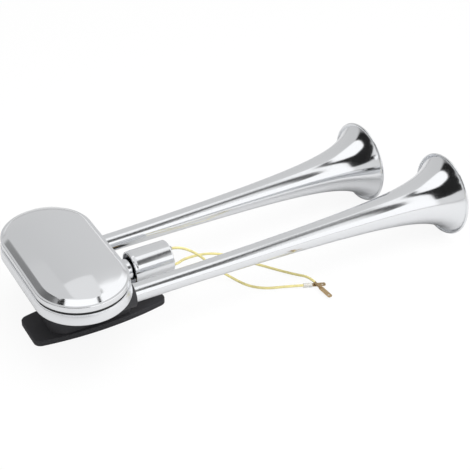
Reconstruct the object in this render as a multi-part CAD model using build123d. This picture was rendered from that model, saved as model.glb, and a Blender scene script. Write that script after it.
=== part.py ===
from build123d import *
import math
import os

# Car air horn: two trumpets, one sounding head, a solenoid air valve between the trumpets.
# Millimetres.  X runs from the head to the bells, Y across (the long trumpet is on -Y),
# Z up from the surface that the foot plate and both bells stand on.

# ---- driving sizes: trumpets
BELL_RADIUS = 40.0
LONG_REACH = 372.0
SHORT_REACH = 335.5
TUBE_SPACING = 75.5
SPLAY_DEG = 0.92
TUBE_RADIUS = 10.0
TUBE_WALL = 1.3
RIM_BEAD = 1.3
FLARE_LENGTH = 42.0
FLARE_POWER = 1.5
FLARE_RIM = 39.0
STRAIGHT_END = 60.0
SOCKET_RADIUS = 11.7
SOCKET_MOUTH = 44.0
TUBE_START = 6.0
SEAL_THICK = 1.5

# ---- driving sizes: head, an oval of two arcs joined by straights, heights from the floor
ARC_Y = 36.4
DRUM_RADIUS = 33.4
FLANGE_RADIUS = 38.6
FLANGE_LOW = 56.0
FLANGE_TOP = 60.0
DRUM_TOP = 65.0
GASKET_THICK = 2.0
SKIRT_LOW = 55.0
SKIRT_RADIUS = 42.0
COVER_RISE = 17.8
CROWN_RADIUS = 76.0
CROWN_EDGE = 33.4
FOOT_RISE = 5.5
FOOT_RADIUS = 38.4
COVER_WALL = 2.4
CHAMBER_RADIUS = 23.5
CHAMBER_FLOOR = 57.0
NOZZLE_OUTER = 9.0
NOZZLE_BORE = 6.0
DIAPHRAGM_RADIUS = 27.0
DIAPHRAGM_THICK = 0.6
CLAMP_INNER = 24.0
CLAMP_OUTER = 32.6
CLAMP_THICK = 3.0
CLAMP_SCREW_CIRCLE = 30.2
COVER_SCREW_CIRCLE = 36.0
COVER_SCREW_ANGLES = (35.0, 90.0, 145.0)

# ---- driving sizes: pedestal and foot plate
PLATE_THICK = 5.0
PLATE_LEFT = -39.5
PLATE_RIGHT = 85.5
PLATE_END_HALF = 19.1
PLATE_MID_HALF = 25.6
PLATE_CORNER = 7.0
BLOCK_LEFT = -23.0
BLOCK_RIGHT = 38.0
TOE_RIGHT = 50.0
TOE_TOP = 20.0
BLOCK_HALF = 21.3
FOOT_SCREW_PLACES = ((-14.0, -13.0), (-14.0, 13.0), (43.0, -14.0), (43.0, 14.0))
INSERT_PLACES = ((-12.0, 0.0), (18.0, 0.0))
INSERT_RADIUS = 4.0
INSERT_BORE = 2.5
INSERT_LENGTH = 12.0
INLET_HEIGHT = 12.5

# ---- driving sizes: solenoid valve, along X at this height
VALVE_HEIGHT = 35.2
SPIGOT_START = 20.0
HEX_END = 45.0
HEX_FLATS = 22.0
NECK_RADIUS = 10.0
NECK_END = 66.0
CASE_RADIUS = 16.4
CASE_WALL = 1.6
CASE_MOUTH = 61.0
CASE_END = 97.5
CASE_FLOOR = 2.0
GUIDE_RADIUS = 6.0
GUIDE_BORE = 5.4
GUIDE_END = 93.0
SEAT_X = 55.5
PLUNGER_RADIUS = 5.32
PLUNGER_END = 78.0
STROKE = 1.5

# ---- driving sizes: wires, their routes as corner points and their terminals
WIRE_RADIUS = 1.0
WIRE_ONE = ((95.5, -2.5, 45.2), (105.6, -2.5, 45.2), (123.4, -4.4, 33.4), (139.3, -9.9, 14.0),
            (155.0, -20.2, 1.0), (161.4, -35.5, 1.0), (173.5, -46.3, 1.0), (188.0, -53.0, 2.2),
            (205.2, -60.3, 2.2))
WIRE_TWO = ((95.5, -6.5, 29.0), (104.0, -6.5, 29.0), (116.2, 5.2, 22.6), (143.9, 15.6, 12.3),
            (167.1, 17.4, 1.0), (175.9, 1.0, 1.0), (186.0, -11.5, 1.0), (196.5, -26.5, 1.0),
            (207.0, -43.0, 2.4), (213.9, -54.7, 4.75), (214.8, -63.6, 4.2))
TERMINAL_BARREL = 9.0
ONE_BLADE = 11.0
TWO_BLADE = 14.4

# ---- derived
AXIS_HEIGHT = BELL_RADIUS
CASE_INNER = CASE_END - CASE_FLOOR
GASKET_TOP = DRUM_TOP + GASKET_THICK
COVER_TOP = GASKET_TOP + COVER_RISE
COVER_FOOT = (FOOT_RADIUS, GASKET_TOP + FOOT_RISE)
SIDES = {"long": -1, "short": 1}
REACH = {"long": LONG_REACH, "short": SHORT_REACH}

os.makedirs("parts", exist_ok=True)


def save(shape, node):
    shape.label = node
    export_step(shape, "parts/" + node + ".step")
    print(node, "volume", round(shape.volume, 1), "solids", len(shape.solids()))


def tube_x(radius, start, end, bore=0.0):
    """A cylinder or tube along X."""
    length = end - start
    body = Pos(start + length / 2, 0, 0) * Rot(0, 90, 0) * Cylinder(radius, length)
    if bore:
        body -= Pos(start + length / 2, 0, 0) * Rot(0, 90, 0) * Cylinder(bore, length + 2)
    return body


def tube_z(radius, low, high, x=0.0, y=0.0):
    return Pos(x, y, (low + high) / 2) * Cylinder(radius, high - low)


def hex_x(flats, start, end):
    outline = Plane.YZ * RegularPolygon(flats / 2, 6, major_radius=False, rotation=30)
    return Pos(start, 0, 0) * extrude(outline, amount=end - start, dir=(1, 0, 0))


def oval(radius, low, high):
    outline = SlotCenterToCenter(2 * ARC_Y, 2 * radius, rotation=90)
    return Pos(0, 0, low) * extrude(outline, amount=high - low)


def oval_sweep(section):
    """Carry a section (distance out from the oval's core line, height) round the oval."""
    upright = Pos(0, ARC_Y, 0) * (Plane.XZ * section)
    far_end = revolve(upright, Axis((0, ARC_Y, 0), (0, 0, 1)), 180)
    side = extrude(upright, amount=2 * ARC_Y, dir=(0, -1, 0))
    half = far_end + side
    return half + Rot(0, 0, 180) * half


def closed(points):
    return make_face(Polyline(*points, close=True))


def on_side(side, shape):
    """Put a shape made along X on the trumpet axis of one side."""
    turn = SIDES[side] * SPLAY_DEG
    return Pos(0, SIDES[side] * TUBE_SPACING / 2, AXIS_HEIGHT) * Rot(0, 0, turn) * shape


def on_valve(shape):
    return Pos(0, 0, VALVE_HEIGHT) * shape


def around(centre_y, circle, angles):
    return [(circle * math.cos(math.radians(a)), centre_y + circle * math.sin(math.radians(a)))
            for a in angles]


def cover_screw_places():
    far = around(ARC_Y, COVER_SCREW_CIRCLE, COVER_SCREW_ANGLES)
    near = around(-ARC_Y, COVER_SCREW_CIRCLE, [-a for a in COVER_SCREW_ANGLES])
    return far + near


def clamp_screw_places(side):
    return around(SIDES[side] * ARC_Y, CLAMP_SCREW_CIRCLE, range(30, 390, 60))


# ---- trumpets

def inset_points(points, wall):
    """Points one wall thickness inside a profile."""
    moved = []
    for i, (x, r) in enumerate(points):
        x0, r0 = points[max(i - 1, 0)]
        x1, r1 = points[min(i + 1, len(points) - 1)]
        run = math.hypot(x1 - x0, r1 - r0)
        moved.append((x + wall * (r1 - r0) / run, r - wall * (x1 - x0) / run))
    return moved


def flare_radius(back, length):
    """Outer radius at a distance back from the rim of a flare that ends straight."""
    left = (1 + back / FLARE_LENGTH) ** -FLARE_POWER
    least = (1 + length / FLARE_LENGTH) ** -FLARE_POWER
    return TUBE_RADIUS + (FLARE_RIM - TUBE_RADIUS) * (left - least) / (1 - least)


def trumpet(side):
    reach = REACH[side]
    length = reach - STRAIGHT_END
    # points closer together towards the rim
    backs = [length * (1 - i / 14) ** 2.2 + 0.8 for i in range(1, 15)]
    flare = [(reach - back, flare_radius(back, length)) for back in backs]
    outer = [(STRAIGHT_END, TUBE_RADIUS)] + flare
    inner = inset_points(outer, TUBE_WALL)
    root_out = (TUBE_START, TUBE_RADIUS)
    root_in = (TUBE_START, TUBE_RADIUS - TUBE_WALL)
    straight_in = (STRAIGHT_END, TUBE_RADIUS - TUBE_WALL)
    inner[0] = straight_in
    edges = [Line(root_in, root_out), Line(root_out, outer[0]),
             Spline(*outer, tangents=((1, 0), (0.68, 0.73))),
             Line(outer[-1], inner[-1]),
             Spline(*reversed(inner), tangents=((-0.68, -0.73), (-1, 0))),
             Line(straight_in, root_in)]
    section = make_face(Wire(edges))
    section += Pos(reach - RIM_BEAD, BELL_RADIUS - RIM_BEAD) * Circle(RIM_BEAD)
    return on_side(side, revolve(section, Axis.X, 360))


def tube_seals():
    ring = tube_x(TUBE_RADIUS, TUBE_START - SEAL_THICK, TUBE_START, TUBE_RADIUS - 1.8)
    return Compound([on_side(side, ring) for side in SIDES])


def tube_screws():
    low = -SOCKET_RADIUS - 0.3
    grub = tube_z(2.0, low, -TUBE_RADIUS - 0.05, x=32.0)
    socket = extrude(Pos(32.0, 0, low) * RegularPolygon(1.0, 6), amount=1.2)
    return Compound([on_side(side, grub - socket) for side in SIDES])


# ---- housing under the cover: air chambers, trumpet sockets, valve port and pedestal

def pedestal_outline(right, right_corner):
    shape = Pos((BLOCK_LEFT + right) / 2, 0) * Rectangle(right - BLOCK_LEFT, 2 * BLOCK_HALF)
    corners = shape.vertices().sort_by(Axis.X)
    shape = fillet(corners[:2], 14.0)
    corners = shape.vertices().group_by(Axis.X)[-1]
    return fillet(corners, right_corner)


def housing():
    low = Pos(0, 0, PLATE_THICK) * extrude(pedestal_outline(TOE_RIGHT, 3.0),
                                           amount=TOE_TOP - PLATE_THICK)
    high = Pos(0, 0, PLATE_THICK) * extrude(pedestal_outline(BLOCK_RIGHT, 2.0),
                                            amount=FLANGE_LOW - PLATE_THICK)
    body = low + high
    body += oval(FLANGE_RADIUS, FLANGE_LOW, FLANGE_TOP)
    body += oval(DRUM_RADIUS, FLANGE_TOP - 1, DRUM_TOP)
    for side, sign in SIDES.items():
        body += on_side(side, tube_x(SOCKET_RADIUS, 0, SOCKET_MOUTH) + Sphere(SOCKET_RADIUS))
        body += on_side(side, Pos(17, 0, 12) * Box(34, 8, 9))
        body += tube_z(NOZZLE_OUTER + 1, AXIS_HEIGHT, FLANGE_LOW + 1, y=sign * ARC_Y)
    for side, sign in SIDES.items():
        pocket = tube_z(CHAMBER_RADIUS, CHAMBER_FLOOR, DRUM_TOP + 1, y=sign * ARC_Y)
        pocket -= tube_z(NOZZLE_OUTER, CHAMBER_FLOOR - 1, DRUM_TOP + 2, y=sign * ARC_Y)
        body -= pocket
        body -= tube_z(NOZZLE_BORE, AXIS_HEIGHT, DRUM_TOP + 1, y=sign * ARC_Y)
        body -= on_side(side, tube_x(TUBE_RADIUS + 0.05, TUBE_START - SEAL_THICK, SOCKET_MOUTH + 1))
        body -= on_side(side, tube_x(7.5, -4, TUBE_START))
        body -= on_side(side, tube_z(2.0, -SOCKET_RADIUS - 1, -TUBE_RADIUS + 0.5, x=32.0))
        for x, y in clamp_screw_places(side):
            body -= tube_z(1.5, CHAMBER_FLOOR, DRUM_TOP + 1, x, y)
    for x, y in cover_screw_places():
        body -= tube_z(1.8, FLANGE_LOW - 1, FLANGE_TOP + 1, x, y)
    body -= housing_passages()
    for x, y in FOOT_SCREW_PLACES:
        body -= tube_z(1.9, PLATE_THICK - 1, PLATE_THICK + 11.5, x, y)
    for x, y in INSERT_PLACES:
        body -= tube_z(INSERT_RADIUS, PLATE_THICK - 1, PLATE_THICK + INSERT_LENGTH, x, y)
    return body


def housing_passages():
    """Inlet port and riser, valve bore, outlet riser and the cross way to both chambers."""
    cut = on_valve(tube_x(9.0, SPIGOT_START, BLOCK_RIGHT + 1))
    cut += on_valve(tube_x(3.0, 7.0, SPIGOT_START + 1))
    cut += tube_z(3.0, VALVE_HEIGHT, 60.0, x=10.0)
    cut += Pos(10, 0, 60) * Rot(90, 0, 0) * Cylinder(2.5, 36)
    inlet = Pos(0, 0, INLET_HEIGHT)
    cut += inlet * tube_x(5.0, 40.0, TOE_RIGHT + 1)
    cut += inlet * tube_x(2.5, 28.0, 41.0)
    cut += tube_z(2.5, INLET_HEIGHT, 28.0, x=30.0)
    return cut


def foot_plate():
    outline = make_face(Wire([
        Line((PLATE_LEFT, -PLATE_END_HALF), (PLATE_LEFT, PLATE_END_HALF)),
        ThreePointArc((PLATE_LEFT, PLATE_END_HALF),
                      ((PLATE_LEFT + PLATE_RIGHT) / 2, PLATE_MID_HALF),
                      (PLATE_RIGHT, PLATE_END_HALF)),
        Line((PLATE_RIGHT, PLATE_END_HALF), (PLATE_RIGHT, -PLATE_END_HALF)),
        ThreePointArc((PLATE_RIGHT, -PLATE_END_HALF),
                      ((PLATE_LEFT + PLATE_RIGHT) / 2, -PLATE_MID_HALF),
                      (PLATE_LEFT, -PLATE_END_HALF))]))
    outline = fillet(outline.vertices(), PLATE_CORNER)
    plate = extrude(outline, amount=PLATE_THICK)
    plate = chamfer(plate.edges().group_by(Axis.Z)[-1], 0.8)
    for x, y in FOOT_SCREW_PLACES:
        plate -= tube_z(2.1, -1, PLATE_THICK + 1, x, y)
        plate -= Pos(x, y, 1.5) * Cone(4.0, 2.1, 2.0)
        plate -= tube_z(4.0, -1, 0.5, x, y)
    for x, y in INSERT_PLACES:
        plate -= tube_z(3.4, -1, PLATE_THICK + 1, x, y)
    return plate


def foot_screws():
    screws = []
    for x, y in FOOT_SCREW_PLACES:
        screw = Pos(x, y, 1.5) * Cone(4.0, 2.0, 2.0)
        screw += tube_z(1.9, 2.4, PLATE_THICK + 11.0, x, y)
        screw -= Pos(x, y, 0.5) * (Box(5.0, 0.9, 1.8) + Box(0.9, 5.0, 1.8))
        screws.append(screw)
    return Compound(screws)


def mount_inserts():
    inserts = []
    for x, y in INSERT_PLACES:
        body = tube_z(INSERT_RADIUS, PLATE_THICK, PLATE_THICK + INSERT_LENGTH, x, y)
        body -= tube_z(INSERT_BORE, PLATE_THICK - 1, PLATE_THICK + INSERT_LENGTH + 1, x, y)
        inserts.append(body)
    return Compound(inserts)


def inlet_barb():
    """Hose fitting for 8 mm hose, screwed into the pedestal under the solenoid."""
    profile = [(40, 0), (40, 5.0), (50, 5.0), (55, 5.0), (56, 3.4)]
    for start in (56, 62, 68):
        profile += [(start, 3.4), (start, 4.3), (start + 6, 3.4)]
    profile += [(76, 3.4), (76, 0)]
    kept = [p for i, p in enumerate(profile) if i == 0 or p != profile[i - 1]]
    body = revolve(closed(kept), Axis.X, 360)
    body += hex_x(12.0, 50, 55)
    body -= tube_x(2.3, 39, 77)
    return Pos(0, 0, INLET_HEIGHT) * body


# ---- head

def skirt():
    inner = DRUM_RADIUS + 0.2
    wide = SKIRT_RADIUS
    section = closed([(inner, FLANGE_TOP), (inner, DRUM_TOP), (wide - 1.6, DRUM_TOP),
                      (wide - 1.5, DRUM_TOP - 0.5), (wide - 0.9, DRUM_TOP - 0.9),
                      (wide, SKIRT_LOW + 1.2), (wide - 0.2, SKIRT_LOW + 0.3), (wide - 0.8, SKIRT_LOW),
                      (wide - 2.4, SKIRT_LOW), (wide - 2.4, FLANGE_TOP)])
    ring = oval_sweep(section)
    for x, y in cover_screw_places():
        ring -= tube_z(1.8, FLANGE_TOP - 1, DRUM_TOP + 1, x, y)
    return ring


def gasket():
    ring = oval(SKIRT_RADIUS - 2.3, DRUM_TOP, GASKET_TOP)
    ring -= oval(DRUM_RADIUS + 0.4, DRUM_TOP - 1, GASKET_TOP + 1)
    for x, y in cover_screw_places():
        ring -= tube_z(1.9, DRUM_TOP - 1, GASKET_TOP + 1, x, y)
    return ring


def crown_height(out):
    """Height of the cover's domed top at a distance out from the core line."""
    return COVER_TOP - CROWN_RADIUS + math.sqrt(CROWN_RADIUS ** 2 - out ** 2)


def cover():
    foot_out, foot_z = COVER_FOOT
    edge = (CROWN_EDGE, crown_height(CROWN_EDGE))
    lean = math.asin(CROWN_EDGE / CROWN_RADIUS)
    crown = ThreePointArc((0, COVER_TOP), (CROWN_EDGE / 2, crown_height(CROWN_EDGE / 2)), edge)
    shoulder_rise = edge[1] - foot_z
    knee = (foot_out - 3.5, foot_z + 0.777246 * shoulder_rise)
    shoulder = Spline(edge, knee, COVER_FOOT, tangents=((math.cos(lean), -math.sin(lean)), (0.66, -0.75)))
    flange = SKIRT_RADIUS - 1.5
    under = [(CROWN_EDGE - 0.2, foot_z + 0.459779 * shoulder_rise)]
    under += [(out, crown_height(out) - COVER_WALL) for out in (27.0, 14.0, 0.0)]
    rest = Polyline(COVER_FOOT, (flange - 0.7, foot_z - 0.1), (flange, foot_z - 0.8),
                    (flange, GASKET_TOP + 0.5), (flange - 0.4, GASKET_TOP), (flange - 3.9, GASKET_TOP),
                    (flange - 3.9, foot_z - 1.5), *under, (0, COVER_TOP))
    shell = oval_sweep(make_face(Wire(list(crown.edges()) + list(shoulder.edges()) + list(rest.edges()))))
    for x, y in cover_screw_places():
        shell += tube_z(3.1, GASKET_TOP, foot_z - 0.5, x, y)
    for x, y in cover_screw_places():
        shell -= tube_z(1.5, GASKET_TOP - 1, foot_z - 1.2, x, y)
    return shell


def cover_screws():
    screws = []
    for x, y in cover_screw_places():
        screw = tube_z(2.8, FLANGE_LOW - 2.2, FLANGE_LOW, x, y)
        screw += tube_z(1.5, FLANGE_LOW - 1, COVER_FOOT[1] - 1.5, x, y)
        screw -= Pos(x, y, FLANGE_LOW - 2.2) * (Box(3.6, 0.8, 2.0) + Box(0.8, 3.6, 2.0))
        screws.append(screw)
    return Compound(screws)


def diaphragm(side):
    y = SIDES[side] * ARC_Y
    disc = tube_z(DIAPHRAGM_RADIUS, DRUM_TOP, DRUM_TOP + DIAPHRAGM_THICK, y=y)
    return disc + tube_z(7.0, DRUM_TOP + DIAPHRAGM_THICK, DRUM_TOP + 1.4, y=y)


def clamp_ring(side):
    y = SIDES[side] * ARC_Y
    ring = tube_z(CLAMP_OUTER, DRUM_TOP, DRUM_TOP + CLAMP_THICK, y=y)
    ring -= tube_z(CLAMP_INNER, DRUM_TOP - 1, DRUM_TOP + CLAMP_THICK + 1, y=y)
    ring -= tube_z(DIAPHRAGM_RADIUS, DRUM_TOP - 1, DRUM_TOP + DIAPHRAGM_THICK, y=y)
    for x, yy in clamp_screw_places(side):
        ring -= tube_z(1.6, DRUM_TOP - 1, DRUM_TOP + CLAMP_THICK + 1, x, yy)
    return ring


def clamp_screws():
    screws = []
    top = DRUM_TOP + CLAMP_THICK
    for side in SIDES:
        for x, y in clamp_screw_places(side):
            screw = tube_z(2.7, top, top + 1.8, x, y) + tube_z(1.5, CHAMBER_FLOOR + 0.4, top + 0.5, x, y)
            screw -= Pos(x, y, top + 1.8) * (Box(3.4, 0.7, 1.6) + Box(0.7, 3.4, 1.6))
            screws.append(screw)
    return Compound(screws)


# ---- solenoid valve

def valve_body():
    body = tube_x(9.0, SPIGOT_START, BLOCK_RIGHT) + hex_x(HEX_FLATS, BLOCK_RIGHT, HEX_END)
    body += tube_x(NECK_RADIUS, HEX_END, NECK_END)
    body -= tube_x(10.0, 23.0, 25.4, 7.4)
    body -= tube_x(GUIDE_RADIUS, SEAT_X - 2.5, NECK_END + 1)
    body += tube_x(3.2, SEAT_X - 3.0, SEAT_X)
    body -= tube_x(2.0, SPIGOT_START - 1, SEAT_X + 1)
    body -= Pos(0, 0, -4.3) * tube_x(1.2, 29.0, SEAT_X - 2)
    body -= tube_z(2.0, -10.0, -4.3, x=30.0)
    return on_valve(body)


def valve_ring():
    return on_valve(revolve(Pos(24.2, 8.2) * Circle(0.8), Axis.X, 360))


def guide_tube():
    return on_valve(tube_x(GUIDE_RADIUS, SEAT_X + 2.0, GUIDE_END, GUIDE_BORE))


def pole_plate():
    return on_valve(tube_x(CASE_RADIUS - CASE_WALL, NECK_END, 68.5, GUIDE_RADIUS))


def coil_bobbin():
    body = tube_x(7.4, 68.5, CASE_INNER)
    body += tube_x(14.3, 68.5, 70.1) + tube_x(14.3, CASE_INNER - 1.6, CASE_INNER)
    return on_valve(body - tube_x(GUIDE_RADIUS + 0.05, 68, CASE_INNER + 1))


def coil_winding():
    return on_valve(tube_x(13.6, 70.1, CASE_INNER - 1.6, 7.4))


def fixed_core():
    body = tube_x(GUIDE_BORE, PLUNGER_END + STROKE, GUIDE_END)
    body += tube_x(GUIDE_RADIUS, GUIDE_END, CASE_INNER)
    body += tube_x(3.0, CASE_INNER - 1, CASE_END + 3.0)
    return on_valve(body)


def core_nut():
    return on_valve(hex_x(9.0, CASE_END, CASE_END + 2.6) - tube_x(3.0, CASE_END - 1, CASE_END + 4))


def plunger():
    body = tube_x(PLUNGER_RADIUS, SEAT_X + 1.0, PLUNGER_END)
    body -= tube_x(3.6, SEAT_X, SEAT_X + 2.5)
    body -= tube_x(2.6, 70.0, PLUNGER_END + 1)
    return on_valve(body)


def plunger_seal():
    return on_valve(tube_x(3.6, SEAT_X, SEAT_X + 2.5))


def plunger_spring():
    wire, coil, start, end = 0.3, 1.9, 70.0, PLUNGER_END + STROKE
    rise = end - start - 2 * wire
    path = Helix(rise / 5, rise, coil)
    body = sweep(Plane(path @ 0, z_dir=path % 0) * Circle(wire), path=path)
    body += Torus(coil, wire) + Pos(0, 0, rise) * Torus(coil, wire)
    return on_valve(Pos(start + wire, 0, 0) * Rot(0, 90, 0) * body)


def coil_case():
    body = tube_x(CASE_RADIUS, CASE_MOUTH, CASE_END)
    body = fillet(body.edges().group_by(Axis.X)[-1], 1.2)
    body = fillet(body.edges().group_by(Axis.X)[0], 0.5)
    body -= tube_x(CASE_RADIUS - CASE_WALL, CASE_MOUTH - 1, CASE_INNER)
    body -= tube_x(3.0, CASE_INNER - 1, CASE_END + 1)
    body = on_valve(body)
    for route in (WIRE_ONE, WIRE_TWO):
        body -= Pos(0, route[0][1], route[0][2]) * tube_x(2.0, CASE_INNER - 1, CASE_END + 1)
    return body


def wire_ferrules():
    rings = []
    for route in (WIRE_ONE, WIRE_TWO):
        ring = tube_x(2.0, CASE_INNER, CASE_END + 2.2) + tube_x(2.7, CASE_END, CASE_END + 0.7)
        ring -= tube_x(WIRE_RADIUS, CASE_INNER - 1, CASE_END + 4)
        rings.append(Pos(0, route[0][1], route[0][2]) * ring)
    return Compound(rings)


# ---- wires and terminals

def bend_radii(route, name):
    """A radius for each corner, from the shorter of its two runs and its turn."""
    radii = []
    for a, b, c in zip(route, route[1:], route[2:]):
        first = Vector(*b) - Vector(*a)
        second = Vector(*c) - Vector(*b)
        turn = math.radians(first.get_angle(second))
        radii.append(0.45 * min(first.length, second.length) / math.tan(turn / 2))
    print(name, "bend radii", [round(r, 1) for r in radii])
    return radii


def wire(route, name):
    path = FilletPolyline(*route, radius=bend_radii(route, name))
    start = Plane(path @ 0, z_dir=path % 0)
    body = sweep(start * Circle(WIRE_RADIUS), path=path)
    want = math.pi * WIRE_RADIUS ** 2 * path.length
    print(name, "length", round(path.length, 1), "volume", round(body.volume, 1),
          "section x length", round(want, 1))
    return body


def along(route):
    """A frame at the end of a route, its local X pointing on from the wire."""
    end = Vector(*route[-1])
    out = (end - Vector(*route[-2])).normalized()
    side = Vector(0, 0, 1).cross(out).normalized()
    return Location(Plane(end, x_dir=out, z_dir=out.cross(side)))


def terminal(route, blade):
    """Crimp barrel and flat spade with a round tip."""
    body = tube_x(1.3, 0, TERMINAL_BARREL)
    start = TERMINAL_BARREL - 1.5
    end = TERMINAL_BARREL + blade
    flat = Pos((start + end) / 2, 0) * Rectangle(end - start, 4.4)
    flat = fillet(flat.vertices(), 1.6)
    flat -= Pos(end - 3.0, 0) * Circle(0.9)
    body += Pos(0, 0, -0.4) * extrude(flat, amount=0.8)
    return along(route) * body


def terminal_boot():
    return along(WIRE_ONE) * tube_x(2.1, -0.6, TERMINAL_BARREL - 1.6, 1.3)


save(foot_plate(), "foot_plate")
save(foot_screws(), "foot_screws")
save(mount_inserts(), "mount_inserts")
save(housing(), "housing")
save(inlet_barb(), "inlet_barb")
save(skirt(), "head_skirt")
save(gasket(), "head_gasket")
save(cover(), "head_cover")
save(cover_screws(), "cover_screws")
save(clamp_screws(), "clamp_screws")
for side_name in SIDES:
    save(trumpet(side_name), "trumpet_" + side_name)
    save(diaphragm(side_name), "diaphragm_" + side_name)
    save(clamp_ring(side_name), "clamp_ring_" + side_name)
save(tube_seals(), "tube_seals")
save(tube_screws(), "tube_screws")
save(valve_body(), "valve_body")
save(valve_ring(), "valve_ring")
save(guide_tube(), "guide_tube")
save(pole_plate(), "pole_plate")
save(coil_bobbin(), "coil_bobbin")
save(coil_winding(), "coil_winding")
save(fixed_core(), "fixed_core")
save(core_nut(), "core_nut")
save(plunger(), "plunger")
save(plunger_seal(), "plunger_seal")
save(plunger_spring(), "plunger_spring")
save(coil_case(), "coil_case")
save(wire_ferrules(), "wire_ferrules")
save(wire(WIRE_ONE, "wire_one"), "wire_one")
save(wire(WIRE_TWO, "wire_two"), "wire_two")
save(terminal(WIRE_ONE, ONE_BLADE), "terminal_one")
save(terminal(WIRE_TWO, TWO_BLADE), "terminal_two")
save(terminal_boot(), "terminal_boot")
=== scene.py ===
import math

import bpy
from bpy.props import FloatProperty, FloatVectorProperty, IntProperty, PointerProperty
from bpy.types import Operator, Panel, PropertyGroup
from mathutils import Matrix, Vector


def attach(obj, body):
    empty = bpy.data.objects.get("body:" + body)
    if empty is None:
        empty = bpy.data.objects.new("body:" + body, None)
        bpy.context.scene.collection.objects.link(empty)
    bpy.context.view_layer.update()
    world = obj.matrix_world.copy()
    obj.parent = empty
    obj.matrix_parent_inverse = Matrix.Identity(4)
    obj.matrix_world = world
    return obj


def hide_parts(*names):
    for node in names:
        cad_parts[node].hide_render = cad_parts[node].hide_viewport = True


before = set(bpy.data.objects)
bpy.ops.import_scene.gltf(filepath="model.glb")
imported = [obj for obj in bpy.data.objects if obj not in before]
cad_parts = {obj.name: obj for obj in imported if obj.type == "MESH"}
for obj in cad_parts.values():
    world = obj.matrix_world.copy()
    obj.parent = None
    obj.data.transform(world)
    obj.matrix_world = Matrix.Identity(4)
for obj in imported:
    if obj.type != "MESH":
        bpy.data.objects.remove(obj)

bl_info = {
    "name": "Air Horn",
    "version": (1, 0, 0),
    "blender": (4, 5, 0),
    "location": "View3D > Sidebar > Air Horn",
    "description": "Finishes a pair of trumpets on one sounding head, "
                   "with its valve, leads and a small studio",
    "category": "Object",
}

MM = 0.001
BODY = "horn"

# start of a drawn line and widest seam merged, in metres; edges shaded smooth, in degrees
SEED_SIZE = 0.001
SEAM_GAP = 0.000002
SMOOTH_TURNED = 35.0
SMOOTH_OVAL = 30.0

# head and valve, in millimetres; the cover, skirt and case are closed sections
ARC_Y = 36.4
AXIS_HEIGHT = 40.0
VALVE_HEIGHT = 35.7
HEAD_TOP = 84.8
CROWN_RADIUS = 76.0
CROWN_EDGE = 33.4
CROWN_STEPS = 14
CROWN_WALL = 2.4
CROWN_UNDER = (27.0, 20.0, 14.0, 7.0, 0.0)
OVAL_STEPS = 64
CASE_STEPS = 96
COVER_SIDE = [
    (34.0, 76.72), (34.6, 76.25), (35.3, 75.6), (36.3, 74.6), (37.4, 73.5), (38.4, 72.5),
    (38.7, 72.42), (39.8, 72.4), (40.1, 72.33), (40.4, 72.0), (40.5, 71.6), (40.5, 67.6),
    (40.4, 67.2), (40.1, 67.0), (36.6, 67.0), (36.6, 71.0), (33.2, 74.6),
]
SKIRT_BAND = [
    (33.6, 60.0), (33.6, 65.0), (40.2, 65.0), (40.45, 64.9), (40.5, 64.5), (40.6, 64.3),
    (41.0, 64.15), (41.15, 63.9), (41.95, 56.6), (41.98, 56.0), (41.85, 55.4), (41.6, 55.1),
    (41.2, 55.0), (39.6, 55.0), (39.6, 60.0),
]
COIL_CASE = [
    (59.7, 13.7), (59.7, 14.75), (59.9, 15.02), (62.3, 15.24), (62.7, 15.4), (62.9, 15.4),
    (96.1, 15.4), (96.3, 15.4), (96.9, 15.24), (97.34, 14.8), (97.5, 14.2), (97.5, 9.0),
    (97.5, 3.0), (95.5, 3.0), (95.5, 14.7), (95.0, 15.12), (75.0, 15.12), (60.9, 15.12),
    (60.6, 13.7),
]

# trumpets: reach in millimetres, side of the valve, splay in degrees, and the rest in metres
REACH = {"long": 372.0, "short": 335.5}
SIDES = {"long": -1, "short": 1}
SPLAY = 0.92
ROOT_Y = 0.03775
ROOT_START = 0.006
COLLAR_RADIUS = 0.010
COLLAR_END = 0.0434
COLLAR_SLOPE = 0.0004
FLARE_RIM = 0.0390
FLARE_RUN = 0.2686
FLARE_LENGTH = 0.0233
FLARE_POWER = 0.774
FLARE_CROWDING = 2.2
FLARE_STOP = 0.0008

# rolled rim: radius of the bell, and the bead's steps, angles in degrees and clearance
BELL_RADIUS = 0.040
BEAD_STEPS = 14
BEAD_START = -98.0
BEAD_TURN = 308.0
BEAD_CLEAR = 1.05

# leads: lengths in metres, routes in millimetres
LEAD_ONE = ((95.5, -2.5, 45.2), (105.6, -2.5, 45.2), (123.4, -4.4, 33.4), (139.3, -9.9, 14.0),
            (155.0, -20.2, 1.2), (161.4, -35.5, 1.2), (173.5, -46.3, 1.2), (188.0, -53.0, 2.4),
            (205.2, -60.3, 2.4))
LEAD_TWO = ((95.5, -6.5, 29.0), (104.0, -6.5, 29.0), (116.2, 5.2, 22.6), (143.9, 15.6, 12.3),
            (167.1, 17.4, 1.2), (175.9, 1.0, 1.2), (186.0, -11.5, 1.2), (196.5, -26.5, 1.2),
            (207.0, -43.0, 2.6), (213.9, -54.7, 5.2), (214.8, -63.6, 4.65))


# ---- what a user may change

def colour(name, description, default):
    return FloatVectorProperty(name=name, description=description, default=default, size=3,
                               min=0.0, max=1.0, subtype="COLOR")


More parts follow.
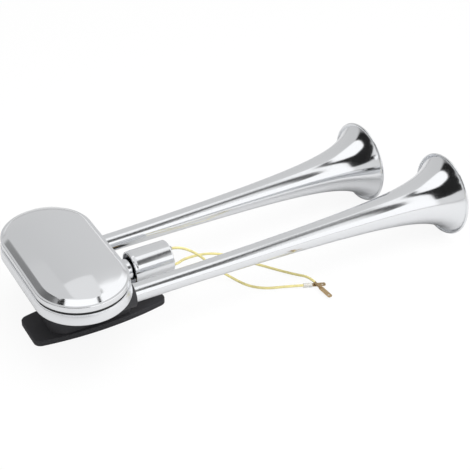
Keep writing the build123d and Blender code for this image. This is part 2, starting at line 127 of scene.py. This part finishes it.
class HornFinish(PropertyGroup):
    """Colours and smoothness of the finishes."""
    chrome: colour("Chrome", "Tint of the bright chrome plate", (0.93, 0.935, 0.94))
    chrome_rough: FloatProperty(
        name="Chrome roughness", description="Least roughness of the plate",
        default=0.015, min=0.0, max=1.0, subtype="FACTOR")
    plastic: colour("Plastic", "Black of the foot, pedestal and bobbin", (0.012, 0.012, 0.013))
    rubber: colour("Rubber", "Black of the gasket and seals", (0.015, 0.015, 0.015))
    steel: colour("Steel", "Zinc plated screws and plates", (0.56, 0.56, 0.58))
    brass: colour("Brass", "Hose fitting and thread inserts", (0.72, 0.50, 0.20))
    copper: colour("Copper", "Enamelled winding wire", (0.58, 0.22, 0.08))
    lead: colour("Lead", "Insulation of the two leads", (0.74, 0.66, 0.29))
    blade: colour("Blade", "Tarnished brass of the terminals", (0.30, 0.17, 0.06))
    sleeve: colour("Sleeve", "Milky sleeve on one terminal", (0.86, 0.86, 0.82))


class HornSizes(PropertyGroup):
    """Sizes and fineness of the shells that are turned here."""
    steps: IntProperty(
        name="Steps round", description="Faces round a trumpet", default=128, min=24)
    stations: IntProperty(
        name="Flare stations", description="Rings along a flare", default=56, min=14)
    tube_radius: FloatProperty(name="Tube radius", description="Outside of the trumpet tube",
                               default=0.00845, unit="LENGTH")
    tube_wall: FloatProperty(name="Wall", description="Sheet thickness of the trumpets",
                             default=0.0013, unit="LENGTH")
    rim_bead: FloatProperty(name="Rim bead", description="Radius of the rolled rim",
                            default=0.0013, unit="LENGTH")
    lead_radius: FloatProperty(name="Lead radius", description="Outside of the insulation",
                               default=0.0012, unit="LENGTH")


class HornStage(PropertyGroup):
    """Camera, lamps and the room that the chrome mirrors."""
    place: FloatVectorProperty(
        name="Camera place", description="Where the camera stands",
        default=(-0.26810, -0.76869, 0.66226), subtype="TRANSLATION", unit="LENGTH")
    turn: FloatVectorProperty(
        name="Camera turn", description="How the camera is turned", subtype="EULER",
        default=(math.radians(54.6063), math.radians(-0.1226), math.radians(-29.4071)))
    lens: FloatProperty(
        name="Lens", description="Focal length for a 36 mm frame", default=90.04, unit="CAMERA")
    key: FloatProperty(
        name="Key lamp", description="Power of the lamp overhead", default=7.0, unit="POWER")
    fill: FloatProperty(
        name="Room light", description="Even light from all round", default=0.75)
    overhead: FloatProperty(
        name="Overhead", description="Brightness of the white overhead in the chrome", default=1.12)
    gap: FloatProperty(
        name="Gap", description="Brightness of the dark gap and slot in the chrome", default=0.012)


# ---- materials

# radians that a wave of scale 1 turns in a metre, and width of a turn of winding wire in metres
WAVE_RATE = 20.0
WIRE_PITCH = 0.0005


class Finish:
    """A material under construction: its shader and the textures that feed it."""

    def __init__(self, name, metal=0.0):
        self.material = bpy.data.materials.new(name)
        self.material.use_nodes = True
        self.nodes = self.material.node_tree.nodes
        self.links = self.material.node_tree.links
        self.shader = self.nodes["Principled BSDF"]
        self.shader.inputs["Metallic"].default_value = metal

    def noise(self, scale, detail=3.0, stretch=(1.0, 1.0, 1.0)):
        """Cloudy grey over the piece's own coordinates."""
        where = self.nodes.new("ShaderNodeTexCoord")
        mapping = self.nodes.new("ShaderNodeMapping")
        mapping.inputs["Scale"].default_value = stretch
        noise = self.nodes.new("ShaderNodeTexNoise")
        noise.inputs["Scale"].default_value = scale
        noise.inputs["Detail"].default_value = detail
        self.links.new(where.outputs["Object"], mapping.inputs["Vector"])
        self.links.new(mapping.outputs["Vector"], noise.inputs["Vector"])
        return noise.outputs["Fac"]

    def tint(self, source, dark, light, low=0.35, high=0.65):
        """Colour from dark to light as a texture goes from low to high."""
        ramp = self.nodes.new("ShaderNodeValToRGB")
        ramp.color_ramp.elements[0].position = low
        ramp.color_ramp.elements[0].color = (*dark, 1.0)
        ramp.color_ramp.elements[1].position = high
        ramp.color_ramp.elements[1].color = (*light, 1.0)
        self.links.new(source, ramp.inputs["Fac"])
        self.links.new(ramp.outputs["Color"], self.shader.inputs["Base Color"])

    def rough(self, source, low, high):
        """Roughness from low to high over the middle of a texture's range."""
        spread = self.nodes.new("ShaderNodeMapRange")
        spread.inputs["From Min"].default_value = 0.3
        spread.inputs["From Max"].default_value = 0.7
        spread.inputs["To Min"].default_value = low
        spread.inputs["To Max"].default_value = high
        self.links.new(source, spread.inputs["Value"])
        self.links.new(spread.outputs["Result"], self.shader.inputs["Roughness"])

    def bump(self, source, height, strength=1.0):
        """Relief of a texture, at a height in metres."""
        bump = self.nodes.new("ShaderNodeBump")
        bump.inputs["Strength"].default_value = strength
        bump.inputs["Distance"].default_value = height
        self.links.new(source, bump.inputs["Height"])
        self.links.new(bump.outputs["Normal"], self.shader.inputs["Normal"])


def shade(base, factor):
    """A lighter or darker tone of a colour."""
    return tuple(min(1.0, channel * factor) for channel in base)


def chrome_finish(base, rough):
    """Bright plate with the faintest waviness."""
    finish = Finish("bright_chrome", metal=1.0)
    finish.tint(finish.noise(scale=9.0, detail=2.0), dark=shade(base, 0.97), light=base)
    finish.rough(finish.noise(scale=60.0, detail=5.0), low=rough, high=rough + 0.03)
    finish.bump(finish.noise(scale=140.0, detail=2.0), height=0.000004)
    return finish.material


def moulded_finish(base):
    """Fine grained moulded plastic."""
    finish = Finish("black_plastic")
    finish.tint(finish.noise(scale=45.0), dark=shade(base, 0.8), light=shade(base, 1.5))
    finish.rough(finish.noise(scale=220.0, detail=5.0), low=0.38, high=0.55)
    finish.bump(finish.noise(scale=1800.0, detail=3.0), height=0.00006, strength=0.5)
    return finish.material


def rubber_finish(base):
    """Dull rubber."""
    finish = Finish("black_rubber")
    finish.tint(finish.noise(scale=90.0), dark=shade(base, 0.8), light=shade(base, 1.6))
    finish.rough(finish.noise(scale=400.0), low=0.6, high=0.8)
    finish.bump(finish.noise(scale=2500.0), height=0.00004, strength=0.4)
    return finish.material


def steel_finish(base):
    """Zinc plate with marks drawn out along Z."""
    finish = Finish("zinc_steel", metal=1.0)
    finish.tint(finish.noise(scale=120.0), dark=shade(base, 0.85), light=shade(base, 1.1))
    wipes = finish.noise(scale=900.0, detail=4.0, stretch=(1.0, 1.0, 0.15))
    finish.rough(wipes, low=0.22, high=0.4)
    marks = finish.noise(scale=1400.0, detail=3.0, stretch=(1.0, 1.0, 0.1))
    finish.bump(marks, height=0.00001, strength=0.5)
    return finish.material


def brass_finish(name, base, low, high):
    """Brass with darker clouds, at a least and a greatest roughness."""
    finish = Finish(name, metal=1.0)
    clouds = finish.noise(scale=260.0, detail=5.0)
    finish.tint(clouds, dark=shade(base, 0.65), light=shade(base, 1.15))
    finish.rough(finish.noise(scale=700.0, detail=4.0), low=low, high=high)
    finish.bump(finish.noise(scale=1500.0), height=0.00001, strength=0.5)
    return finish.material


def winding_finish(base):
    """Turns of enamelled wire lying side by side along X."""
    finish = Finish("copper_winding", metal=1.0)
    where = finish.nodes.new("ShaderNodeTexCoord")
    wave = finish.nodes.new("ShaderNodeTexWave")
    wave.inputs["Scale"].default_value = 2.0 * math.pi / WAVE_RATE / WIRE_PITCH
    finish.links.new(where.outputs["Object"], wave.inputs["Vector"])
    turns = wave.outputs["Fac"]
    finish.tint(turns, dark=shade(base, 0.45), light=base, low=0.1, high=0.7)
    finish.rough(finish.noise(scale=300.0), low=0.2, high=0.35)
    finish.bump(turns, height=0.0001)
    return finish.material


def lead_finish(base):
    """Smooth soft insulation."""
    finish = Finish("lead_insulation")
    finish.tint(finish.noise(scale=140.0), dark=shade(base, 0.9), light=shade(base, 1.08))
    finish.rough(finish.noise(scale=500.0), low=0.4, high=0.55)
    finish.bump(finish.noise(scale=900.0), height=0.00001, strength=0.2)
    return finish.material


def sleeve_finish(base):
    """Milky plastic that lets some light through."""
    finish = Finish("milky_sleeve")
    finish.tint(finish.noise(scale=200.0), dark=shade(base, 0.93), light=base)
    finish.rough(finish.noise(scale=500.0), low=0.2, high=0.35)
    finish.shader.inputs["Transmission Weight"].default_value = 0.35
    return finish.material


def wear(piece, material):
    """Give a piece one material all over."""
    piece.data.materials.clear()
    piece.data.materials.append(material)


# ---- modelling by hand

def start_line(name, first):
    """Begin a drawn line with one vertex, left selected in edit mode."""
    bpy.ops.object.select_all(action="DESELECT")
    bpy.ops.mesh.primitive_plane_add(size=SEED_SIZE, location=(0.0, 0.0, 0.0))
    piece = bpy.context.object
    piece.name = name
    piece.data.name = name
    bpy.ops.object.mode_set(mode="EDIT")
    bpy.ops.mesh.select_all(action="SELECT")
    bpy.ops.mesh.merge(type="CENTER")
    bpy.ops.transform.translate(value=first)
    return piece


def draw_line(name, points):
    """Draw a chain of edges through the points by extruding one vertex on and on."""
    piece = start_line(name, points[0])
    for before, after in zip(points, points[1:]):
        step = [b - a for a, b in zip(before, after)]
        bpy.ops.mesh.extrude_region_move(TRANSFORM_OT_translate={"value": step})
    bpy.ops.mesh.select_all(action="SELECT")
    return piece


def close_up(piece, angle):
    """Merge the seams, turn the faces outwards and leave edit mode with smooth shading."""
    bpy.ops.mesh.select_all(action="SELECT")
    bpy.ops.mesh.remove_doubles(threshold=SEAM_GAP)
    bpy.ops.mesh.normals_make_consistent(inside=False)
    bpy.ops.object.mode_set(mode="OBJECT")
    bpy.ops.object.shade_smooth_by_angle(angle=math.radians(angle))
    return piece


def turned(name, section, centre, axis, steps):
    """Spin a closed section, given as (along, out) in metres, about an axis."""
    centre = Vector(centre)
    axis = Vector(axis).normalized()
    out = Vector((0.0, 0.0, 1.0))
    points = [tuple(centre + axis * along + out * away) for along, away in section + section[:1]]
    piece = draw_line(name, points)
    bpy.ops.mesh.spin(steps=steps, angle=2.0 * math.pi, center=centre, axis=axis)
    return close_up(piece, SMOOTH_TURNED)


def oval_ring(name, section):
    """Carry a closed section, given as (out, height) in metres, round the oval of the head."""
    arc_y = ARC_Y * MM
    points = [(away, -arc_y, height) for away, height in section + section[:1]]
    piece = draw_line(name, points)
    for sign in (1.0, -1.0):
        along = (0.0, sign * 2.0 * arc_y, 0.0)
        bpy.ops.mesh.extrude_region_move(TRANSFORM_OT_translate={"value": along})
        bpy.ops.mesh.spin(steps=OVAL_STEPS, angle=-math.pi, center=(0.0, sign * arc_y, 0.0),
                          axis=(0.0, 0.0, 1.0))
    return close_up(piece, SMOOTH_OVAL)


def millimetres(section):
    """A section given in millimetres, in metres."""
    return [(a * MM, b * MM) for a, b in section]


def fit(piece, slot_name, material, *nodes):
    """Put a finished piece on the horn in place of CAD nodes."""
    wear(piece, material)
    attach(piece, BODY)
    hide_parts(*nodes)


# ---- trumpets

def flare_radius(back, tube_radius):
    """Outer radius at a distance back from the rim of the flare."""
    left = (1.0 + back / FLARE_LENGTH) ** -FLARE_POWER
    least = (1.0 + FLARE_RUN / FLARE_LENGTH) ** -FLARE_POWER
    return tube_radius + (FLARE_RIM - tube_radius) * (left - least) / (1.0 - least)


def inset(points, wall):
    """The same line one wall thickness further in."""
    moved = []
    for i, (x, r) in enumerate(points):
        x0, r0 = points[max(i - 1, 0)]
        x1, r1 = points[min(i + 1, len(points) - 1)]
        run = math.hypot(x1 - x0, r1 - r0)
        moved.append((x + wall * (r1 - r0) / run, r - wall * (x1 - x0) / run))
    return moved


def trumpet_section(reach, sizes):
    """Closed section of a trumpet: collar in its socket, tube, flare, rolled rim, inside wall."""
    radius = sizes.tube_radius
    count = sizes.stations
    backs = [FLARE_RUN * (1.0 - i / count) ** FLARE_CROWDING + FLARE_STOP
             for i in range(1, count + 1)]
    flare = [(reach - back, flare_radius(back, radius)) for back in backs]
    outer = [(reach - FLARE_RUN, radius)] + flare
    inner = inset(outer, sizes.tube_wall)
    bead = sizes.rim_bead
    rim = []
    for i in range(BEAD_STEPS + 1):
        turn = math.radians(BEAD_START - i * BEAD_TURN / BEAD_STEPS)
        rim.append((reach - bead + bead * math.cos(turn),
                    BELL_RADIUS - bead + bead * math.sin(turn)))
    clear = [(x, r) for x, r in outer
             if math.hypot(x - reach + bead, r - BELL_RADIUS + bead) > bead * BEAD_CLEAR]
    root = [(ROOT_START, radius - sizes.tube_wall), (ROOT_START, COLLAR_RADIUS),
            (COLLAR_END, COLLAR_RADIUS), (COLLAR_END + COLLAR_SLOPE, radius)]
    return root + clear + rim + inner[::-1]


class HORN_OT_trumpets(Operator):
    """Spin the long and the short trumpet with their rolled rims"""
    bl_idname = "horn.trumpets"
    bl_label = "Trumpets"

    def execute(self, context):
        sizes = context.scene.horn_sizes
        for side, sign in SIDES.items():
            lean = math.radians(SPLAY) * sign
            section = trumpet_section(REACH[side] * MM, sizes)
            piece = turned("trumpet_" + side + "_shell", section,
                           (0.0, sign * ROOT_Y, AXIS_HEIGHT * MM),
                           (math.cos(lean), math.sin(lean), 0.0), sizes.steps)
            fit(piece, "bright_chrome", bpy.data.materials["bright_chrome"], "trumpet_" + side)
        return {"FINISHED"}


# ---- head

def crown(out):
    """Height of the domed cover at a distance out from the core line, in millimetres."""
    return HEAD_TOP - CROWN_RADIUS + math.sqrt(CROWN_RADIUS ** 2 - out ** 2)


class HORN_OT_head(Operator):
    """Draw the domed cover and the skirt and carry them round the oval"""
    bl_idname = "horn.head"
    bl_label = "Head cover and skirt"

    def execute(self, context):
        chrome = bpy.data.materials["bright_chrome"]
        outs = [CROWN_EDGE * i / CROWN_STEPS for i in range(CROWN_STEPS + 1)]
        top = [(out, crown(out)) for out in outs]
        under = [(out, crown(out) - CROWN_WALL) for out in CROWN_UNDER]
        cover = oval_ring("cover_shell", millimetres(top + COVER_SIDE + under))
        fit(cover, "bright_chrome", chrome, "head_cover")
        skirt = oval_ring("skirt_shell", millimetres(SKIRT_BAND))
        fit(skirt, "bright_chrome", chrome, "head_skirt")
        return {"FINISHED"}


# ---- valve

class HORN_OT_coil_case(Operator):
    """Spin the drawn coil case with its rounded end and mouth"""
    bl_idname = "horn.coil_case"
    bl_label = "Coil case"

    def execute(self, context):
        piece = turned("coil_case_shell", millimetres(COIL_CASE), (0.0, 0.0, VALVE_HEIGHT * MM),
                       (1.0, 0.0, 0.0), CASE_STEPS)
        fit(piece, "bright_chrome", bpy.data.materials["bright_chrome"], "coil_case")
        return {"FINISHED"}


# ---- leads

def lead(name, route, radius, node, terminals):
    """A smooth lead along its route, from the valve to its terminal."""
    curve = bpy.data.curves.new(name, "CURVE")
    curve.dimensions = "3D"
    curve.bevel_depth = radius
    curve.bevel_resolution = 5
    curve.use_fill_caps = True
    spline = curve.splines.new("NURBS")
    spline.points.add(len(route) - 1)
    for point, place in zip(spline.points, route):
        point.co = (*(v * MM for v in place), 1.0)
    spline.order_u = 3
    spline.use_endpoint_u = True
    spline.resolution_u = 12
    piece = bpy.data.objects.new(name, curve)
    bpy.context.scene.collection.objects.link(piece)
    fit(piece, "yellow_lead", bpy.data.materials["lead_insulation"], node)


class HORN_OT_leads(Operator):
    """Lay the two yellow leads from the valve over the table"""
    bl_idname = "horn.leads"
    bl_label = "Leads"

    def execute(self, context):
        radius = context.scene.horn_sizes.lead_radius
        lead("lead_one", LEAD_ONE, radius, "wire_one", ["terminal_one", "terminal_boot"])
        lead("lead_two", LEAD_TWO, radius, "wire_two", ["terminal_two"])
        return {"FINISHED"}


# ---- finishes

FINISH_OF_NODE = {
    "bright_chrome": ("valve_body",),
    "black_plastic": ("foot_plate", "housing", "coil_bobbin"),
    "black_rubber": ("head_gasket", "tube_seals", "valve_ring", "plunger_seal"),
    "zinc_steel": ("foot_screws", "cover_screws", "clamp_screws", "diaphragm_long",
                   "diaphragm_short", "clamp_ring_long", "clamp_ring_short", "tube_screws",
                   "guide_tube", "pole_plate", "fixed_core", "core_nut", "plunger",
                   "plunger_spring", "wire_ferrules"),
    "turned_brass": ("mount_inserts", "inlet_barb"),
    "copper_winding": ("coil_winding",),
    "terminal_brass": ("terminal_one", "terminal_two"),
    "milky_sleeve": ("terminal_boot",),
}


class HORN_OT_finishes(Operator):
    """Make every finish and give each CAD piece its own"""
    bl_idname = "horn.finishes"
    bl_label = "Finishes"

    def execute(self, context):
        finish = context.scene.horn_finish
        chrome_finish(finish.chrome, finish.chrome_rough)
        moulded_finish(finish.plastic)
        rubber_finish(finish.rubber)
        steel_finish(finish.steel)
        brass_finish("turned_brass", finish.brass, 0.15, 0.3)
        brass_finish("terminal_brass", finish.blade, 0.3, 0.5)
        winding_finish(finish.copper)
        lead_finish(finish.lead)
        sleeve_finish(finish.sleeve)
        for name, nodes in FINISH_OF_NODE.items():
            for node in nodes:
                wear(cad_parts[node], bpy.data.materials[name])
        return {"FINISHED"}


# ---- stage

# the room in the chrome: edges of the dark gap and slot, as degrees of compass and height, and
# levels of the walls by compass
GAP_TOP = (
    (-180, 59), (-150, 66), (-120, 67.5), (-90, 71.5), (-60, 74.5), (-40, 76.5), (-20, 78.5),
    (0, 79.5), (15, 78.5), (25, 76), (60, 74), (118, 56), (125, 55), (160, 58), (180, 59),
)
GAP_FOOT = (
    (-180, 42), (-150, 17), (-135, 22), (-97, 23), (-93.5, 24), (-92, 47), (-87.5, 54), (-80, 60),
    (-70, 64.5), (-60, 67.2), (-45, 70.5), (-30, 73), (0, 74.5), (20, 75), (30, 76.5), (45, 77),
    (60, 77), (118, 58), (125, 36), (160, 38), (180, 42),
)
SLOT_TOP = (
    (-180, 15), (-76, 15), (-71.4, 33.6), (-71, 39.4), (-68.3, 46.9), (-64.8, 52.3),
    (-60.7, 56.5), (-54, 60.4), (-45.6, 63), (-34.7, 65.3), (-20.6, 67), (0, 67.9), (14.6, 67.3),
    (24, 62), (180, 62),
)
SLOT_FOOT = (
    (-180, 60), (-74, 60), (-66.7, 32.8), (-64, 38), (-60.2, 44.9), (-56.1, 49.8), (-51.5, 53.6),
    (-45, 56.9), (-38.2, 59.5), (-29.8, 62.2), (-18.2, 64.4), (0, 65.6), (13.2, 65.2), (20, 69),
    (180, 69),
)
WALL_LEVEL = (
    (-180, 0.42), (-165, 0.60), (-150, 0.70), (-120, 0.74), (-97, 0.74), (-92, 1.12),
    (-60, 1.12), (-30, 1.10), (18, 1.10), (30, 0.72), (45, 0.67), (60, 0.66), (100, 0.62),
    (118, 0.62), (126, 0.25), (150, 0.15), (168, 0.16), (180, 0.42),
)
HEIGHTS = (-90.0, 180.0)
LEVEL_SPAN = 1.25
GAP_SOFT = 1.6
SLOT_SOFT = 0.8

# cards: place, what it faces, size and level; lamps: place, size and share of the key's power
CARDS = {
    "white_card": ((-0.052, -0.156, 0.194), (0.0, -0.07, 0.083), (0.066, 0.20), 1.15),
    "pale_card": ((-0.035, -0.07, 0.25), (-0.035, -0.07, 0.083), (0.23, 0.23), 0.82),
    "grey_card": ((-0.081, 0.03, 0.182), (0.0, 0.03, 0.016), (0.09, 0.20), 0.66),
}
LAMPS = {
    "key_lamp": ((0.2, -0.1, 1.1), 0.9, 1.0),
    "side_lamp": ((0.7, -0.5, 0.6), 0.6, 0.4),
}
TABLE_SIZE = 12.0
TABLE_PLACE = (0.15, 0.0, 0.0)
TABLE_ROUGH = 0.8
# the paper's tone, and a darker tone of it that only the chrome sees, which is painted shade
PAPER = 0.86
PAPER_MIRRORED_SHADE = 0.64
TABLE_WHITE = 0.9


class Room:
    """Levels of light by direction, laid over one another as nodes of the world."""

    def __init__(self, tree):
        self.tree = tree
        where = self.node("ShaderNodeTexCoord")
        axes = self.node("ShaderNodeSeparateXYZ")
        tree.links.new(where.outputs["Generated"], axes.inputs["Vector"])
        turn = self.sum("ARCTAN2", axes.outputs["Y"], axes.outputs["X"])
        rise = self.sum("ARCSINE", axes.outputs["Z"])
        self.turn = self.spread(turn, -math.pi, math.pi)
        self.rise = self.spread(rise, -math.pi / 2.0, math.pi / 2.0)

    def node(self, kind):
        return self.tree.nodes.new(kind)

    def feed(self, socket, value):
        """Set a socket to a number, or link another node's output to it."""
        if isinstance(value, (int, float)):
            socket.default_value = value
        else:
            self.tree.links.new(value, socket)

    def sum(self, operation, *values):
        """The result of a Math node on numbers or other nodes' outputs."""
        node = self.node("ShaderNodeMath")
        node.operation = operation
        for socket, value in zip(node.inputs, values):
            self.feed(socket, value)
        return node.outputs["Value"]

    def spread(self, value, low, high, smooth=False):
        """Take a value from low..high to 0..1, where it stays."""
        node = self.node("ShaderNodeMapRange")
        if smooth:
            node.interpolation_type = "SMOOTHSTEP"
        self.feed(node.inputs["Value"], value)
        self.feed(node.inputs["From Min"], low)
        self.feed(node.inputs["From Max"], high)
        return node.outputs["Result"]

    def by_turn(self, points, base, size):
        """A line over the compass, through points given as degrees and a value in base..base+size,
        and returned as 0..1."""
        node = self.node("ShaderNodeFloatCurve")
        line = node.mapping.curves[0]
        for _ in points[2:]:
            line.points.new(0.5, 0.5)
        for knot, (degrees, value) in zip(line.points, points):
            knot.location = ((degrees + 180.0) / 360.0, (value - base) / size)
            knot.handle_type = "VECTOR"
        node.mapping.update()
        self.feed(node.inputs["Value"], self.turn)
        return node.outputs["Value"]

    def above(self, edge, soft):
        """1 above an edge and 0 below it, over a soft width in degrees."""
        half = soft / 2.0 / HEIGHTS[1]
        low = self.sum("SUBTRACT", edge, half)
        high = self.sum("ADD", edge, half)
        return self.spread(self.rise, low, high, smooth=True)

    def lay(self, under, over, mask):
        """One level over another where the mask is 1."""
        node = self.node("ShaderNodeMix")
        self.feed(node.inputs["Factor"], mask)
        self.feed(node.inputs["A"], under)
        self.feed(node.inputs["B"], over)
        return node.outputs["Result"]


def mirrored_room(tree, stage):
    """What the chrome mirrors: white overhead, the dark gap under it, and walls with a slot."""
    room = Room(tree)
    top = room.by_turn(GAP_TOP, *HEIGHTS)
    foot = room.by_turn(GAP_FOOT, *HEIGHTS)
    walls = room.sum("MULTIPLY", room.by_turn(WALL_LEVEL, 0.0, LEVEL_SPAN), LEVEL_SPAN)
    slot_top = room.by_turn(SLOT_TOP, *HEIGHTS)
    slot_foot = room.by_turn(SLOT_FOOT, *HEIGHTS)
    slot = room.sum("MULTIPLY", room.above(slot_foot, SLOT_SOFT),
                    room.sum("SUBTRACT", 1.0, room.above(slot_top, SLOT_SOFT)))
    slotted = room.lay(walls, stage.gap, slot)
    darkened = room.lay(slotted, stage.gap, room.above(foot, GAP_SOFT))
    return room.lay(darkened, stage.overhead, room.above(top, GAP_SOFT))


def set_world(stage):
    """White where the camera looks, the studio where the chrome looks, even light elsewhere."""
    world = bpy.context.scene.world or bpy.data.worlds.new("studio")
    bpy.context.scene.world = world
    world.use_nodes = True
    tree = world.node_tree
    tree.nodes.clear()
    path = tree.nodes.new("ShaderNodeLightPath")
    even = tree.nodes.new("ShaderNodeBackground")
    even.inputs["Strength"].default_value = stage.fill
    mirrored = tree.nodes.new("ShaderNodeBackground")
    tree.links.new(mirrored_room(tree, stage), mirrored.inputs["Strength"])
    white = tree.nodes.new("ShaderNodeBackground")
    white.inputs["Strength"].default_value = 1.0
    for background in (even, mirrored, white):
        background.inputs["Color"].default_value = (1.0, 1.0, 1.0, 1.0)
    first = tree.nodes.new("ShaderNodeMixShader")
    second = tree.nodes.new("ShaderNodeMixShader")
    out = tree.nodes.new("ShaderNodeOutputWorld")
    tree.links.new(path.outputs["Is Glossy Ray"], first.inputs["Fac"])
    tree.links.new(even.outputs["Background"], first.inputs[1])
    tree.links.new(mirrored.outputs["Background"], first.inputs[2])
    direct = tree.nodes.new("ShaderNodeMath")
    direct.operation = "MAXIMUM"
    tree.links.new(path.outputs["Is Camera Ray"], direct.inputs[0])
    tree.links.new(path.outputs["Is Transmission Ray"], direct.inputs[1])
    tree.links.new(direct.outputs["Value"], second.inputs["Fac"])
    tree.links.new(first.outputs["Shader"], second.inputs[1])
    tree.links.new(white.outputs["Background"], second.inputs[2])
    tree.links.new(second.outputs["Shader"], out.inputs["Surface"])


def table_finish():
    """Pale table: white with a soft shadow to the camera, paper to all else, greyer in chrome as
    painted shade.
    """
    material = bpy.data.materials.new("pale_table")
    material.use_nodes = True
    tree = material.node_tree
    paper = tree.nodes["Principled BSDF"]
    paper.inputs["Roughness"].default_value = TABLE_ROUGH
    paper.inputs["Specular IOR Level"].default_value = 0.0
    white = tree.nodes.new("ShaderNodeEmission")
    path = tree.nodes.new("ShaderNodeLightPath")
    # painted shade: darker paper where the chrome mirrors the table
    grey = tree.nodes.new("ShaderNodeMapRange")
    grey.inputs["To Min"].default_value = PAPER
    grey.inputs["To Max"].default_value = PAPER_MIRRORED_SHADE
    tree.links.new(path.outputs["Is Glossy Ray"], grey.inputs["Value"])
    tree.links.new(grey.outputs["Result"], paper.inputs["Base Color"])
    share = tree.nodes.new("ShaderNodeMath")
    share.operation = "MULTIPLY"
    share.inputs[1].default_value = TABLE_WHITE
    mix = tree.nodes.new("ShaderNodeMixShader")
    tree.links.new(path.outputs["Is Camera Ray"], share.inputs[0])
    tree.links.new(share.outputs["Value"], mix.inputs["Fac"])
    tree.links.new(paper.outputs["BSDF"], mix.inputs[1])
    tree.links.new(white.outputs["Emission"], mix.inputs[2])
    tree.links.new(mix.outputs["Shader"], tree.nodes["Material Output"].inputs["Surface"])
    return material


def card(name, place, aim, size, level):
    """A small lit card near the head that only the chrome sees, turned to what it lights."""
    bpy.ops.object.select_all(action="DESELECT")
    bpy.ops.mesh.primitive_plane_add(size=1.0, location=place)
    piece = bpy.context.object
    piece.name = name
    piece.scale = (size[0], size[1], 1.0)
    facing = Vector(aim) - Vector(place)
    piece.rotation_euler = facing.to_track_quat("Z", "X").to_euler()
    bpy.ops.object.transform_apply(location=True, rotation=True, scale=True)
    material = bpy.data.materials.new(name)
    material.use_nodes = True
    tree = material.node_tree
    tree.nodes.clear()
    glow = tree.nodes.new("ShaderNodeEmission")
    glow.inputs["Strength"].default_value = level
    out = tree.nodes.new("ShaderNodeOutputMaterial")
    tree.links.new(glow.outputs["Emission"], out.inputs["Surface"])
    wear(piece, material)
    piece.visible_camera = False
    piece.visible_diffuse = False
    piece.visible_shadow = False
    piece.visible_transmission = False


def lamp(name, place, size, power):
    """A square lamp that faces the origin and isn't seen in the chrome."""
    bpy.ops.object.light_add(type="AREA", location=place)
    light = bpy.context.object
    light.name = name
    light.data.size = size
    light.data.energy = power
    light.rotation_euler = (-Vector(place)).to_track_quat("-Z", "Y").to_euler()
    light.visible_glossy = False


class HORN_OT_stage(Operator):
    """Set the pale table, the lamps, the room and the camera"""
    bl_idname = "horn.stage"
    bl_label = "Stage"

    def execute(self, context):
        stage = context.scene.horn_stage
        bpy.ops.object.select_all(action="DESELECT")
        bpy.ops.mesh.primitive_plane_add(size=TABLE_SIZE, location=TABLE_PLACE)
        table = context.object
        table.name = "table"
        wear(table, table_finish())
        for name, (place, size, share) in LAMPS.items():
            lamp(name, place, size, stage.key * share)
        for name, (place, aim, size, level) in CARDS.items():
            card(name, place, aim, size, level)
        set_world(stage)
        bpy.ops.object.camera_add(location=stage.place, rotation=stage.turn)
        camera = context.object
        camera.name = "camera"
        camera.data.lens = stage.lens
        camera.data.sensor_width = 36.0
        camera.data.clip_start = 0.01
        camera.data.clip_end = 50.0
        context.scene.camera = camera
        context.scene.view_settings.view_transform = "Standard"
        return {"FINISHED"}


# ---- panel and run

STEPS = (HORN_OT_finishes, HORN_OT_trumpets, HORN_OT_head, HORN_OT_coil_case, HORN_OT_leads,
         HORN_OT_stage)


class HORN_PT_panel(Panel):
    """Buttons for every step, in order."""
    bl_idname = "HORN_PT_panel"
    bl_label = "Air Horn"
    bl_space_type = "VIEW_3D"
    bl_region_type = "UI"
    bl_category = "Air Horn"

    def draw(self, context):
        for step in STEPS:
            self.layout.operator(step.bl_idname)
        for group_name in GROUPS:
            group = getattr(context.scene, group_name)
            box = self.layout.box()
            for name in group.bl_rna.properties.keys():
                if name not in ("rna_type", "name"):
                    box.prop(group, name)


GROUPS = {"horn_finish": HornFinish, "horn_sizes": HornSizes, "horn_stage": HornStage}


def register():
    for kind in (*GROUPS.values(), *STEPS, HORN_PT_panel):
        bpy.utils.register_class(kind)
    for name, kind in GROUPS.items():
        setattr(bpy.types.Scene, name, PointerProperty(type=kind))


def unregister():
    for name in GROUPS:
        delattr(bpy.types.Scene, name)
    for kind in (HORN_PT_panel, *reversed(STEPS), *GROUPS.values()):
        bpy.utils.unregister_class(kind)


def main():
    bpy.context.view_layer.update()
    register()
    bpy.ops.horn.finishes()
    bpy.ops.horn.trumpets()
    bpy.ops.horn.head()
    bpy.ops.horn.coil_case()
    bpy.ops.horn.leads()
    bpy.ops.horn.stage()


if __name__ == "__main__":
    main()
